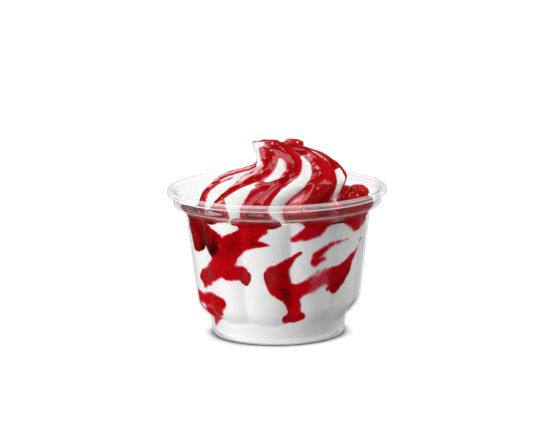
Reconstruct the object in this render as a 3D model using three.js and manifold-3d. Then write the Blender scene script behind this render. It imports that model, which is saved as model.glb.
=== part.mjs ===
// A soft-serve sundae with berry sauce in a clear, lobed plastic cup.
//
// Units are millimetres, +Z is up, the front faces -Y and +X is to the right.
// The origin is the centre of the cup's base, on the surface the cup stands on.
// Angles are in degrees, measured from the front (-Y) towards +X.
//
// The cup is a thin shell with eleven convex lobes. The ice cream fills it up to
// a ledge and rises from there as one ribbed swirl whose tail leans to the left.
// Berry sauce lies over the swirl and pools round its foot, runs down between
// the ice cream and the wall in smears, and carries a few pieces of fruit.

import * as THREE from 'three';
import { mergeVertices } from 'three/addons/utils/BufferGeometryUtils.js';
import Module from 'manifold-3d';

const wasm = await Module();
wasm.setup();

// ---------------------------------------------------------------- dimensions

const GAP = 0.3;                     // left between neighbouring pieces

// Cup
const WALL = 0.8;                    // thickness of the shell
const RIM_RADIUS = 48;               // outside of the rolled lip
const RIM_TOP = 64.8;
const BAND_RADIUS = 45.2;            // stacking band below the lip
const BODY_TOP = 54;                 // where the lobed body meets the band's bend
const BODY_TOP_RADIUS = 40.5;
const SHOULDER_TOP = 17.4;           // below this the lobes round off
const SHOULDER_RADIUS = 36.2;
const FOOT_TOP = 8;
const FOOT_TOP_RADIUS = 29.7;
const FOOT_RADIUS = 28.9;
const FLOOR_RECESS = 1.6;            // the base is raised inside its resting ring
const INNER_FLOOR = FLOOR_RECESS + WALL;
const OUTER_ROWS = [10.2, 13];       // heights that draw the shoulder's curve outside
const INNER_ROWS = [9, 12, 17.8];    // and inside, where wall and filling share them
const SHOULDER_SHIFT = 0.5;          // the inside shoulder sits this much higher

// The parts of the cup's section that have no lobes, as [radius, height]
const BASE_SECTION = [
  [0, FLOOR_RECESS],
  [23.5, FLOOR_RECESS],              // raised base
  [25, 0],                           // resting ring
  [28, 0],
  [FOOT_RADIUS, 1.2],                // rounded lower edge of the foot
];
const RIM_SECTION = [
  [42.6, 56.4],                      // bend above the body
  [BAND_RADIUS, 57.7],               // lower corner of the band
  [45.5, 62.9],                      // top of the band, under the lip
  [47.2, 61.9],                      // rolled lip, from its lower edge
  [RIM_RADIUS, 62.3],
  [RIM_RADIUS, 63.9],
  [47, RIM_TOP],
  [44.9, 64.4],                      // mouth
  [BAND_RADIUS - WALL, 58.2],        // inside of the band
  [41.9, 57.1],                      // inside of the bend
];

// Lobes of the cup's body
const LOBES = 11;
const FIRST_CREASE = 8.5;            // angle of one crease between two lobes
const CREASE_DEPTH = 1.8;
const SEGMENTS_PER_LOBE = 6;

// Ice cream
const LEDGE_HEIGHT = 53.7;           // where the ice cream meets the wall
const RIDGES = 10;                   // ribs of the star nozzle
const RIDGE_PITCH = 360 / RIDGES;
const RIDGE_START = -8;              // angle of the front rib at the foot
const RIDGE_TWIST = 46;              // turn of the ribs from foot to tip
const TWIST_START = 57;              // height where the ribs begin to turn
const TWIST_RISE = 29;
const TWIST_POWER = 1.6;
const RIDGE_DEPTH = 0.115;           // valley depth as a share of the radius
const RIDGE_RUN_IN = 2.6;            // levels over which the ribs rise from the ledge
const VALLEY_SHAPE = 0.85;           // below 1 narrows the valleys
const SEGMENTS_PER_RIDGE = 4;        // a groove, two flanks and a crest
const SWIRL_ROOT = 4;                // how deep the swirl starts inside the filling

// The swirl's outline, level by level: height, left edge, right edge, half depth
const SWIRL_LEVELS = [
  [53.7, -36.6, 36.0, 36.2],
  [56.6, -34.4, 30.4, 32.8],
  [60.2, -32.4, 27.6, 30.6],
  [65.0, -28.8, 28.8, 29.2],
  [68.4, -24.2, 29.6, 26.8],
  [70.4, -18.0, 28.8, 24.0],
  [72.4, -11.0, 27.4, 20.4],
  [75.0, -7.4, 24.8, 16.4],
  [78.0, -7.9, 20.6, 12.2],
  [80.8, -8.9, 13.4, 8.0],
  [83.0, -10.0, 5.0, 4.2],
  [84.4, -9.6, 1.0, 1.3],
];
const TIP = [-4.4, 84.7];            // x and height of the crest of the tail
const TAIL_START = 74;               // above this the left side thins to an edge
const TAIL_RISE = 8;
const TAIL_PINCH = 0.6;

// Sauce
const POOL_HEIGHT = 57.3;            // level of the sauce round the foot
const POOL_RADIUS = 41.0;            // where that level meets the bend of the wall
const SAUCE_THICKNESS = 1.0;         // on the ribs of the swirl
const SAUCE_EDGE = 0.35;             // at the rim of a stream
const SAUCE_SLOPE = 2.5;             // width of the slope from edge to full thickness
const SAUCE_CLEARANCE = GAP + 0.1;   // below the sauce, a little more for its facets
const LEVEL_STEP = 3.2;              // mean distance between two levels of the swirl
const NARROWEST_SWIRL = 6;           // stripes keep their width above this radius
const VALLEY_FILL = 0.45;            // share of each valley that the sauce fills
const SMEAR_DEPTH = 2.6;             // thickest part of a smear on the wall
const SMEAR_EDGE = 0.6;
const SMEAR_SLOPE = 4.5;             // width of the slope from edge to thickest part
const SMEAR_LOWEST = 4;              // no smear reaches below or above these
const SMEAR_HIGHEST = 52.9;
const SMEAR_RADIUS = 37;             // radius at which smear widths are laid out
const SMEAR_ROW = 2.8;               // height of one row of a smear's grid
const SMEAR_BLEND = 1.4;             // how softly the strokes of a smear join
const SMEAR_MARGIN = 7;              // grid beyond the ends of the strokes

// Bare stripes of ice cream between the streams, along the ribs: strokes of
// [rib, level, half width in millimetres], with rib 0 at the front.
const BARE_STRIPES = [
  [[0.47, 0, 5.0], [0.4, 1, 2.8], [0.4, 2.5, 2.8], [0.3, 3.4, 3.6], [0.11, 5.3, 5.2]],
  [[0.11, 5.3, 5.2], [0.1, 6.2, 4.3], [0.09, 8, 2.1], [0.3, 9.1, 1.4]],
  [[-1.28, 6, 0.8], [-1.12, 5.2, 3.0], [-1.08, 4.6, 4.4]],
  [[-1.2, 4.2, 2.6], [-0.85, 4.2, 3.0], [-0.62, 3.2, 2.6], [-0.66, 1.6, 2.3], [-0.72, 0, 4.4]],
  [[-0.85, 9.1, 1.2], [-1.0, 8.5, 2.0], [-1.17, 7.4, 2.4], [-1.1, 6.6, 2.0]],
  [[-2.1, 8.3, 0.6], [-2.45, 7.3, 1.6], [-2.25, 6.3, 3.4], [-2.0, 5.0, 5.4], [-1.95, 4.3, 5.6], [-1.6, 3.2, 2.0]],
  [[-2.72, 4.2, 1.0], [-2.8, 6.4, 1.2]],
  [[-2.75, 8.3, 2.4], [-2.9, 9.4, 2.8], [-3.2, 11.4, 1.6]],
  [[1.85, 7.2, 0.9], [1.97, 5.3, 4.6], [2.1, 3.8, 3.2], [2.05, 2.9, 1.4]],
  [[2.9, 7.9, 1.0], [2.8, 9.1, 0.8]],
  [[4, 1.8, 2.2], [3.9, 6.7, 1.0]],
  [[5, 2.9, 3.0], [5, 4.8, 1.4]],
  [[4.9, 6.4, 1.6], [5, 8.5, 1.0]],
  [[-4, 1.4, 2.4], [-3.9, 7.1, 1.0]],
  [[-4.1, 0.7, 3.6], [-2.5, 0.7, 3.6]],
];

// Smears between the ice cream and the wall: strokes of [angle, height, radius].
const SMEARS = {
  sauce_smear_left: [
    [[-66, 50.5, 4], [-64, 45, 4.2]],
    [[-57, 49, 5], [-50, 44, 3.8]],
    [[-50, 48.5, 4.6], [-38, 49, 2.6]],
    [[-18, 50, 3.4], [-31, 45, 5.6], [-41, 35, 5.4], [-56, 29.5, 4.2]],
    [[-20, 47.5, 3.6], [-6, 46.2, 0.7]],
    [[-36, 33, 4], [-27, 32.4, 3.4]],
  ],
  sauce_smear_foot_left: [
    [[-76, 20, 3], [-56, 20, 3.8], [-44, 19, 3]],
    [[-53, 17, 4], [-60, 12, 3], [-71, 6.4, 1.8]],
  ],
  sauce_smear_front: [
    [[-0.5, 35, 2.8], [0, 29, 4.2], [9, 24, 4.4], [11, 18, 3], [10, 14, 3.6]],
    [[3, 35, 2.6], [14.5, 42, 0.7]],
    [[12, 25.5, 3.4], [28, 28.5, 2.9], [45, 29.5, 4.4], [54, 34.5, 2.6]],
    [[54, 34.5, 2.6], [63, 39, 1.6], [78, 43, 0.6]],
    [[44, 28, 4.2], [43, 24, 2]],
  ],
  sauce_smear_drop: [
    [[12, 48.6, 1.5], [18, 49.6, 2.4], [27, 50.6, 2.2]],
  ],
  sauce_smear_right: [
    [[54, 51, 2.6], [64, 51, 3], [77, 51, 3]],
  ],
  sauce_smear_small: [
    [[24.5, 40, 2.6], [31, 38.5, 1.6]],
    [[25, 41.5, 2.2], [36, 44.2, 1.5], [48, 45.4, 0.9]],
  ],
  sauce_smear_back_right: [
    [[112, 50, 3.2], [118, 41, 4.2], [130, 31, 4.6], [133, 23, 2.6]],
  ],
  sauce_smear_back: [
    [[196, 50, 3.4], [204, 42, 4.6], [222, 36, 4.4], [236, 39, 2.2]],
    [[213, 38, 4.2], [212, 28, 3.2], [206, 21, 2.4]],
  ],
};

// Pieces of fruit: pressed against the wall at [angle, height], or lying on top
// at [x, y, z]; each with its half sizes along the wall, up and inwards.
const WALL_FRUIT = {
  fruit_wall_left: { at: [-64.5, 29], size: [3.4, 4.4, 2.4] },
  fruit_wall_front_left: { at: [-21, 31.6], size: [3.0, 3.7, 2.2] },
  fruit_wall_front: { at: [-5, 33], size: [3.0, 5.2, 2.4] },
};
const TOP_FRUIT = {
  fruit_on_tail: { at: [7.2, 2.4, 82.9], size: [4.8, 3.2, 2.8] },
  fruit_by_wall: { at: [35.2, 6.5, 60.2], size: [5.7, 5.0, 3.7] },
};
const FRUIT_INSET = 1.2;             // centre of a pressed piece behind the filling's face
const FRUIT_CLEARANCE = GAP + 0.2;   // round a piece on top, over the sauce's facets
const LUMPS = 7;                     // waves round a piece of fruit
const LUMP_HEIGHT = 0.07;            // as a share of its size

// ------------------------------------------------------------------- helpers

const RAD = Math.PI / 180;
const WELD_DISTANCE = 1e-4;
const CUT_MARGIN = 0.12;             // keeps the edge of a slab off the grid's nodes
const ANGLE_NUDGE = 1;               // steps either way when a surface's normal is taken
const LEVEL_NUDGE = 0.25;
const clamp01 = (t) => Math.min(1, Math.max(0, t));
const smoothstep = (a, b, t) => {
  const s = clamp01((t - a) / (b - a));
  return s * s * (3 - 2 * s);
};
const mix = (a, b, t) => a + (b - a) * t;
const polar = (angle, radius, height) =>
  new THREE.Vector3(radius * Math.sin(angle * RAD), -radius * Math.cos(angle * RAD), height);

/** Keeps only positions, joins shared vertices, drops collapsed faces, may turn faces over. */
function weld(geometry, turnOver = false) {
  geometry.deleteAttribute('normal');
  geometry.deleteAttribute('uv');
  const merged = mergeVertices(geometry, WELD_DISTANCE);
  const index = merged.index.array;
  const kept = [];
  for (let i = 0; i < index.length; i += 3) {
    const [a, b, c] = [index[i], index[i + 1], index[i + 2]];
    if (a === b || b === c || c === a) continue;
    kept.push(a, ...(turnOver ? [c, b] : [b, c]));
  }
  merged.setIndex(kept);
  return merged;
}

const toSolid = (geometry) => new wasm.Manifold(new wasm.Mesh({
  numProp: 3,
  vertProperties: Float32Array.from(geometry.attributes.position.array),
  triVerts: Uint32Array.from(geometry.index.array),
}));

function toGeometry(solid) {
  const mesh = solid.getMesh();
  const geometry = new THREE.BufferGeometry();
  geometry.setAttribute('position', new THREE.BufferAttribute(mesh.vertProperties, 3));
  geometry.setIndex(new THREE.BufferAttribute(mesh.triVerts, 1));
  geometry.computeVertexNormals();
  return geometry;
}

/**
 * A closed body of revolution. Each row is a function from angle to point, the
 * first and last give a point on the axis. direction -1 goes round the other
 * way, which slants the quads' diagonals like those of a facing inner wall.
 */
function revolve(rows, segments, start = FIRST_CREASE, direction = 1) {
  const profile = rows.map((_, row) => new THREE.Vector2(row % (rows.length - 1) ? 1 : 0, row));
  const lathe = new THREE.LatheGeometry(profile, segments);
  const position = lathe.attributes.position;
  for (let segment = 0; segment <= segments; segment += 1) {
    const angle = start + (direction * (segment % segments) * 360) / segments;
    rows.forEach((place, row) => {
      const p = place(angle);
      position.setXYZ(segment * rows.length + row, p.x, p.y, p.z);
    });
  }
  return weld(lathe, direction < 0);
}

/**
 * A closed slab over the part of a grid where field(i, j) is above zero.
 * skins(i, j) gives the outer and the inner point of a grid node. With
 * wraps set, the last column joins the first.
 */
function slab({ columns, rows, wraps, field, skins }) {
  const stride = rows + 1;
  const nodeId = (i, j) => (wraps ? i % columns : i) * stride + j;
  const values = new Map();
  const points = new Map();
  const valueAt = (i, j) => {
    const id = nodeId(i, j);
    if (!values.has(id)) values.set(id, field(wraps ? i % columns : i, j));
    return values.get(id);
  };
  const pairAt = (i, j) => {
    const id = nodeId(i, j);
    if (!points.has(id)) points.set(id, skins(wraps ? i % columns : i, j));
    return points.get(id);
  };
  const outer = [];
  const inner = [];
  const vertexIds = new Map();
  const addVertex = (key, pair) => {
    if (!vertexIds.has(key)) {
      vertexIds.set(key, outer.length);
      outer.push(pair[0]);
      inner.push(pair[1]);
    }
    return vertexIds.get(key);
  };

  const triangles = [];
  for (let i = 0; i < columns; i += 1) {
    for (let j = 0; j < rows; j += 1) {
      const corners = [[i + 1, j], [i + 1, j + 1], [i, j + 1], [i, j]];
      const polygon = [];
      corners.forEach((a, k) => {
        const b = corners[(k + 1) % 4];
        const [fa, fb] = [valueAt(...a), valueAt(...b)];
        if (fa > 0) polygon.push(addVertex(`n${nodeId(...a)}`, pairAt(...a)));
        if (fa > 0 === fb > 0) return;
        const [ida, idb] = [nodeId(...a), nodeId(...b)];
        const key = ida < idb ? `e${ida}_${idb}` : `e${idb}_${ida}`;
        const t = Math.min(1 - CUT_MARGIN, Math.max(CUT_MARGIN, fa / (fa - fb)));
        const [pa, pb] = [pairAt(...a), pairAt(...b)];
        polygon.push(addVertex(key, [pa[0].clone().lerp(pb[0], t), pa[1].clone().lerp(pb[1], t)]));
      });
      for (let k = 2; k < polygon.length; k += 1) {
        triangles.push([polygon[0], polygon[k - 1], polygon[k]]);
      }
    }
  }

  const edges = new Set();
  triangles.forEach(([a, b, c]) => {
    [[a, b], [b, c], [c, a]].forEach(([p, q]) => edges.add(`${p}_${q}`));
  });
  const base = outer.length;
  const faces = [];
  triangles.forEach(([a, b, c]) => {
    faces.push(a, b, c, base + a, base + c, base + b);
    [[a, b], [b, c], [c, a]].forEach(([p, q]) => {
      if (!edges.has(`${q}_${p}`)) faces.push(p, base + p, q, q, base + p, base + q);
    });
  });
  const geometry = new THREE.BufferGeometry();
  geometry.setAttribute('position', new THREE.Float32BufferAttribute(
    [...outer, ...inner].flatMap((p) => [p.x, p.y, p.z]), 3));
  geometry.setIndex(faces);
  return geometry;
}

// ------------------------------------------------------------- cup and ledge

/** 0 on the crest of a lobe, 1 in the crease between two. */
function creaseAt(angle) {
  const turn = ((angle - FIRST_CREASE) * LOBES) / 360;
  const u = 2 * (turn - Math.floor(turn)) - 1;
  return u * u;
}

/** Outside radius of the foot and the lobed body at a height. */
function bodyRadius(angle, height) {
  const foot = mix(FOOT_RADIUS, FOOT_TOP_RADIUS, clamp01(height / FOOT_TOP));
  if (height <= FOOT_TOP) return foot;
  const rise = clamp01((SHOULDER_TOP - height) / (SHOULDER_TOP - FOOT_TOP));
  const crest = height < SHOULDER_TOP
    ? mix(SHOULDER_RADIUS, FOOT_TOP_RADIUS, rise * rise)
    : mix(SHOULDER_RADIUS, BODY_TOP_RADIUS, (height - SHOULDER_TOP) / (BODY_TOP - SHOULDER_TOP));
  return Math.max(foot, crest - CREASE_DEPTH * creaseAt(angle));
}

/** Inside radius of the cup. */
function innerRadius(angle, height) {
  const shift = SHOULDER_SHIFT * smoothstep(SHOULDER_TOP + 2, FOOT_TOP + 1, height);
  return bodyRadius(angle, height - shift) - WALL;
}

const fillRadius = (angle, height) => innerRadius(angle, height) - GAP;

function cupGeometry() {
  const round = ([radius, height]) => (angle) => polar(angle, radius, height);
  const outside = (height) => (angle) => polar(angle, bodyRadius(angle, height), height);
  const inside = (height) => (angle) => polar(angle, innerRadius(angle, height), height);
  const rows = [
    ...BASE_SECTION.map(round),
    ...[FOOT_TOP, ...OUTER_ROWS, SHOULDER_TOP, BODY_TOP].map(outside),
    ...RIM_SECTION.map(round),
    ...[...INNER_ROWS, BODY_TOP].toReversed().map(inside),
    round([FOOT_RADIUS - WALL, INNER_FLOOR]),
    round([0, INNER_FLOOR]),
  ];
  return revolve(rows, LOBES * SEGMENTS_PER_LOBE);
}

// ----------------------------------------------------------------- the swirl

const [HEIGHT, LEFT, RIGHT, DEPTH] = [0, 1, 2, 3];   // columns of SWIRL_LEVELS

/** Catmull-Rom interpolation of one column of the swirl's levels. */
function levelValue(level, column) {
  const last = SWIRL_LEVELS.length - 1;
  const i = Math.min(last - 1, Math.floor(level));
  const t = level - i;
  const [a, b, c, d] = [i - 1, i, i + 1, i + 2].map((k) =>
    SWIRL_LEVELS[Math.min(last, Math.max(0, k))][column]);
  return b + 0.5 * t * (c - a + t * (2 * a - 5 * b + 4 * c - d + t * (3 * (b - c) + d - a)));
}

const twistAt = (height) =>
  RIDGE_START + RIDGE_TWIST * clamp01((height - TWIST_START) / TWIST_RISE) ** TWIST_POWER;

/**
 * The swirl without its ribs. Level 0 is the ledge's edge on the wall, level
 * n is row n - 1 of SWIRL_LEVELS.
 */
function smoothSwirl(angle, level) {
  const k = Math.max(0, level - 1);
  const [height, left, right, depth] =
    [HEIGHT, LEFT, RIGHT, DEPTH].map((column) => levelValue(k, column));
  const side = Math.sin(angle * RAD);
  const tail = smoothstep(TAIL_START, TAIL_START + TAIL_RISE, height);
  const pinch = 1 - TAIL_PINCH * tail * Math.max(0, -side) ** 2;
  const p = new THREE.Vector3(
    (left + right) / 2 + ((right - left) / 2) * side,
    -depth * Math.cos(angle * RAD) * pinch,
    height,
  );
  if (level >= 1) return p;
  return polar(angle, fillRadius(angle, LEDGE_HEIGHT), LEDGE_HEIGHT).lerp(p, level);
}

function swirlNormal(angle, level) {
  const top = SWIRL_LEVELS.length;
  const [lower, upper] = [Math.max(0, level - LEVEL_NUDGE), Math.min(top, level + LEVEL_NUDGE)];
  const around = smoothSwirl(angle + ANGLE_NUDGE, level).sub(smoothSwirl(angle - ANGLE_NUDGE, level));
  const up = smoothSwirl(angle, upper).sub(smoothSwirl(angle, lower));
  return around.cross(up).normalize();
}

/** The angle, at a level, of the line that follows the ribs from this angle at the foot. */
const ribAngle = (turn, level) => turn + twistAt(smoothSwirl(0, level).z);

/** Depth of the groove between two ribs, in millimetres; 0 on a rib's crest. */
function grooveDepth(angle, level) {
  const height = smoothSwirl(angle, level).z;
  const k = Math.max(0, level - 1);
  const radius = (levelValue(k, RIGHT) - levelValue(k, LEFT)) / 4 + levelValue(k, DEPTH) / 2;
  const phase = ((angle - twistAt(height)) * RIDGES * RAD) / 2;
  const valley = 1 - Math.abs(Math.cos(phase)) ** VALLEY_SHAPE;
  return RIDGE_DEPTH * radius * smoothstep(0, RIDGE_RUN_IN, level) * valley;
}

function swirlPoint(angle, level) {
  const groove = swirlNormal(angle, level).multiplyScalar(-grooveDepth(angle, level));
  return smoothSwirl(angle, level).add(groove);
}

/** The ice cream in the cup, with a flat top. */
function fillGeometry() {
  const bottom = INNER_FLOOR + GAP;
  const rows = [
    () => new THREE.Vector3(0, 0, bottom),
    (angle) => polar(angle, FOOT_RADIUS - WALL - GAP, bottom),
    ...[...INNER_ROWS, LEDGE_HEIGHT].map((height) =>
      (angle) => polar(angle, fillRadius(angle, height), height)),
    () => new THREE.Vector3(0, 0, LEDGE_HEIGHT),
  ];
  return revolve(rows, LOBES * SEGMENTS_PER_LOBE, FIRST_CREASE, -1);
}

/** The ribbed swirl, which starts inside the filling. */
function swirlGeometry() {
  const root = LEDGE_HEIGHT - SWIRL_ROOT;
  const rows = [
    () => new THREE.Vector3(0, 0, root),
    (turn) => swirlPoint(ribAngle(turn, 1), 1).setZ(root),
    ...SWIRL_LEVELS.map((_, k) => (turn) => swirlPoint(ribAngle(turn, k + 1), k + 1)),
    () => new THREE.Vector3(TIP[0], 0, TIP[1]),
  ];
  return revolve(rows, RIDGES * SEGMENTS_PER_RIDGE, 0);
}

// ------------------------------------------------------------ sauce on top

/** Distance from a point to a tapered stroke, minus its half width there. */
function strokeField(x, y, [x0, y0, w0], [x1, y1, w1]) {
  const [dx, dy] = [x1 - x0, y1 - y0];
  const t = clamp01(((x - x0) * dx + (y - y0) * dy) / (dx * dx + dy * dy));
  return mix(w0, w1, t) - Math.hypot(x - x0 - dx * t, y - y0 - dy * t);
}

/** Above zero where sauce covers the swirl, in millimetres from a bare stripe. */
function sauceField(angle, level) {
  const k = Math.max(0, level - 1);
  const radius = Math.max(NARROWEST_SWIRL, (levelValue(k, RIGHT) - levelValue(k, LEFT)) / 2);
  const height = smoothSwirl(angle, level).z;
  const rib = (angle - twistAt(height)) / RIDGE_PITCH;
  const across = RIDGE_PITCH * RAD * radius;
  const bare = BARE_STRIPES.flatMap((stripe) => {
    const nearest = rib - RIDGES * Math.round((rib - stripe[0][0]) / RIDGES);
    const flat = stripe.map(([r, l, width]) => [r * across, l * LEVEL_STEP, width]);
    return flat.slice(1).map((end, k) =>
      strokeField(nearest * across, level * LEVEL_STEP, flat[k], end));
  });
  return -Math.max(...bare);
}

/** Closed layer over the swirl; grow makes it larger on every side. */
function topSauceGeometry(grow = 0) {
  const columns = RIDGES * SEGMENTS_PER_RIDGE;
  const angleOf = (i, j) => ribAngle((i * 360) / columns, j);
  const ledgeRadius = BODY_TOP_RADIUS - CREASE_DEPTH - WALL - GAP;
  return slab({
    columns,
    rows: SWIRL_LEVELS.length,
    wraps: true,
    field: (i, j) => sauceField(angleOf(i, j), j) + grow,
    skins: (i, j) => {
      const angle = angleOf(i, j);
      const normal = swirlNormal(angle, j);
      const cover = SAUCE_CLEARANCE + grow
        + mix(SAUCE_EDGE, SAUCE_THICKNESS, smoothstep(0, SAUCE_SLOPE, sauceField(angle, j)))
        + VALLEY_FILL * grooveDepth(angle, j);
      const inner = swirlPoint(angle, j).addScaledVector(normal, SAUCE_CLEARANCE - grow);
      const outer = swirlPoint(angle, j).addScaledVector(normal, cover);
      if (j === 0) {
        inner.copy(polar(angle, ledgeRadius, LEDGE_HEIGHT));
        outer.copy(polar(angle, POOL_RADIUS - GAP + grow, POOL_HEIGHT));
      }
      inner.z = Math.max(inner.z, LEDGE_HEIGHT + SAUCE_CLEARANCE - grow);
      outer.z = Math.max(outer.z, POOL_HEIGHT + grow);
      return [outer, inner];
    },
  });
}

// ------------------------------------------------------- smears on the wall

/** Above zero inside a smear: its strokes joined softly, in millimetres. */
function smearField(strokes, angle, height) {
  const x = angle * RAD * SMEAR_RADIUS;
  let field = -Infinity;
  strokes.forEach((stroke) => {
    const flat = stroke.map(([a, z, r]) => [a * RAD * SMEAR_RADIUS, z, r]);
    for (let k = 1; k < flat.length; k += 1) {
      const next = strokeField(x, height, flat[k - 1], flat[k]);
      const h = Math.max(0, SMEAR_BLEND - Math.abs(field - next)) / SMEAR_BLEND;
      field = Math.max(field, next) + (h * h * SMEAR_BLEND) / 4;
    }
  });
  return field;
}

/**
 * A body in the outline of a smear, from outside the cup to the smear's depth
 * in the ice cream, on a grid whose columns are the facets of the wall. grow
 * makes it larger on every side.
 */
function smearGeometry(strokes, grow = 0) {
  const all = strokes.flat();
  const [angles, heights] = [all.map(([a]) => a), all.map(([, z]) => z)];
  const column = 360 / (LOBES * SEGMENTS_PER_LOBE);
  const angleMargin = SMEAR_MARGIN / (SMEAR_RADIUS * RAD);
  const first = Math.floor((Math.min(...angles) - angleMargin - FIRST_CREASE) / column);
  const last = Math.ceil((Math.max(...angles) + angleMargin - FIRST_CREASE) / column);
  const lowest = Math.max(SMEAR_LOWEST, Math.min(...heights) - SMEAR_MARGIN);
  const highest = Math.min(SMEAR_HIGHEST, Math.max(...heights) + SMEAR_MARGIN);
  const rows = Math.round((highest - lowest) / SMEAR_ROW);
  const angleOf = (i) => FIRST_CREASE + (first + i) * column;
  const heightOf = (j) => mix(lowest, highest, j / rows);
  return slab({
    columns: last - first,
    rows,
    wraps: false,
    field: (i, j) => smearField(strokes, angleOf(i), heightOf(j)) + grow,
    skins: (i, j) => {
      const [angle, height] = [angleOf(i), heightOf(j)];
      const slope = smoothstep(0, SMEAR_SLOPE, smearField(strokes, angle, height));
      const depth = mix(SMEAR_EDGE, SMEAR_DEPTH, slope);
      const inner = fillRadius(angle, height) - depth - grow;
      return [polar(angle, RIM_RADIUS, height), polar(angle, inner, height)];
    },
  });
}

// --------------------------------------------------------------------- fruit

/** A slightly lumpy ellipsoid, turned about the vertical. */
function fruitGeometry(center, size, turn, grow = 0) {
  const ball = weld(new THREE.IcosahedronGeometry(1, 1));
  const position = ball.attributes.position;
  const p = new THREE.Vector3();
  for (let i = 0; i < position.count; i += 1) {
    p.fromBufferAttribute(position, i);
    const lumps = Math.sin(LUMPS * p.x + 1) * Math.sin(LUMPS * p.y + 2) * Math.sin(LUMPS * p.z);
    p.multiplyScalar(1 + LUMP_HEIGHT * lumps);
    p.set(p.x * (size[0] + grow), p.y * (size[2] + grow), p.z * (size[1] + grow));
    p.applyAxisAngle(new THREE.Vector3(0, 0, 1), turn * RAD).add(center);
    position.setXYZ(i, p.x, p.y, p.z);
  }
  return ball;
}

// ------------------------------------------------------------------ assembly

const plastic = new THREE.MeshStandardMaterial({
  color: 0xf4f6f8, roughness: 0.08, metalness: 0, transparent: true, opacity: 0.25,
});
const iceCreamColour = new THREE.MeshStandardMaterial({ color: 0xf1eee8, roughness: 0.55, metalness: 0 });
const sauceColour = new THREE.MeshStandardMaterial({ color: 0xa30611, roughness: 0.12, metalness: 0 });
const fruitColour = new THREE.MeshStandardMaterial({ color: 0x8c0a18, roughness: 0.2, metalness: 0 });

const sundae = new THREE.Group();
sundae.name = 'sundae';

function addPiece(name, solid, material) {
  const mesh = new THREE.Mesh(toGeometry(solid), material);
  mesh.name = name;
  sundae.add(mesh);
}

addPiece('cup', toSolid(cupGeometry()), plastic);

const filling = toSolid(fillGeometry());
let iceCream = filling.add(toSolid(swirlGeometry()));
const topSauce = toSolid(topSauceGeometry());
const belowFruit = toSolid(topSauceGeometry(FRUIT_CLEARANCE)).add(iceCream);

const wallFruit = Object.entries(WALL_FRUIT).map(([name, { at: [angle, height], size }]) => {
  const center = polar(angle, fillRadius(angle, height) - FRUIT_INSET, height);
  return {
    name,
    piece: toSolid(fruitGeometry(center, size, angle)).intersect(filling),
    pocket: toSolid(fruitGeometry(center, size, angle, GAP)),
  };
});

Object.entries(SMEARS).forEach(([name, strokes]) => {
  let smear = filling.intersect(toSolid(smearGeometry(strokes)));
  wallFruit.forEach(({ pocket }) => { smear = smear.subtract(pocket); });
  iceCream = iceCream.subtract(toSolid(smearGeometry(strokes, GAP)));
  addPiece(name, smear, sauceColour);
});

wallFruit.forEach(({ name, piece, pocket }) => {
  iceCream = iceCream.subtract(pocket);
  addPiece(name, piece, fruitColour);
});

Object.entries(TOP_FRUIT).forEach(([name, { at, size: [width, depth, height] }]) => {
  const fruit = toSolid(fruitGeometry(new THREE.Vector3(...at), [width, height, depth], 0));
  addPiece(name, fruit.subtract(belowFruit), fruitColour);
});

addPiece('ice_cream', iceCream, iceCreamColour);
addPiece('sauce_top', topSauce, sauceColour);

export default sundae;
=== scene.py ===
import math

import bmesh
import bpy
import numpy as np
from mathutils import Matrix, Vector, noise


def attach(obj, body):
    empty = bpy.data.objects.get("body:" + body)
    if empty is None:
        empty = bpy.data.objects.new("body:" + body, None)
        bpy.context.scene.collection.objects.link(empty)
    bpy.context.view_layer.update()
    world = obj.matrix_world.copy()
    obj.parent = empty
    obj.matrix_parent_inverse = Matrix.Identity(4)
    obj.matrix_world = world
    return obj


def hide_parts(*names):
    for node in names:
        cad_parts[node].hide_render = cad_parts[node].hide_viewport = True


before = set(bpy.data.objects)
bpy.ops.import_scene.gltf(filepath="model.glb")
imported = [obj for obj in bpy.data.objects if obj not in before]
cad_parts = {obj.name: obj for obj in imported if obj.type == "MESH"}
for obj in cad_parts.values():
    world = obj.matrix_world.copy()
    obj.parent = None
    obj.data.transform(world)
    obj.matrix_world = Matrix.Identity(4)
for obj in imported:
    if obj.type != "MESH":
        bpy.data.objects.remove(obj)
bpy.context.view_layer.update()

# Lengths are worked out in millimetres and written to the meshes in metres. Angles are in
# degrees, measured from the front (-Y) towards +X.

# ------------------------------------------------------------------ cup
# A clear cup, drawn from thin plastic sheet over a mould: a plain foot, a body of eleven convex
# lobes, a round stacking band and a rolled lip. It stands on a narrow ring round its raised base.
MM = 0.001
WALL = 0.8
RIM_RADIUS, RIM_TOP = 48.0, 64.8
BAND_RADIUS, BAND_BOTTOM = 45.2, 57.7
BODY_TOP, BODY_TOP_RADIUS = 54.0, 40.5
SHOULDER_TOP, SHOULDER_RADIUS = 17.4, 36.2
FOOT_TOP, FOOT_TOP_RADIUS, FOOT_RADIUS = 8.0, 29.7, 28.9
FLOOR_RECESS = 1.6
INNER_FLOOR = FLOOR_RECESS + WALL
LOBES, FIRST_CREASE, CREASE_DEPTH = 11, 8.5, 1.8
CREASE_SOFTNESS = 0.12
BEND_TOP = 56.6
INNER_BEND_RADIUS, INNER_BEND_TOP = 41.9, 57.1
FOOT_EDGE_SOFTNESS, INNER_FOOT_DROP = 0.7, 0.5
CUP_STEPS = 330
# Haze of the drawn plastic, which also glows: real haze on the lip and band, a painted white glow round the
# base, and painted bright lines (painted highlights) along the bends.
HAZE_AND_GLOW_STEPS = [(56, 57.5, 0.01), (61.3, 62.3, 0.08),    # height: start, full; strength
              (INNER_FLOOR + 0.8, INNER_FLOOR - 0.4, 0.5)]
PAINTED_BRIGHT_LINES = [(45.4, 57.8, 0.4), (46.4, 62.0, 0.5),    # radius, height, strength
                (45.2, 64.5, 0.7), (47.9, 64.2, 0.3)]
LINE_WIDTH, MOST_HAZE_AND_GLOW = 0.38, 0.75


def smoothstep(start, end, value):
    share = np.clip((value - start) / (end - start), 0, 1)
    return share * share * (3 - 2 * share)


def mix(first, second, share):
    return first + (second - first) * share


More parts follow.
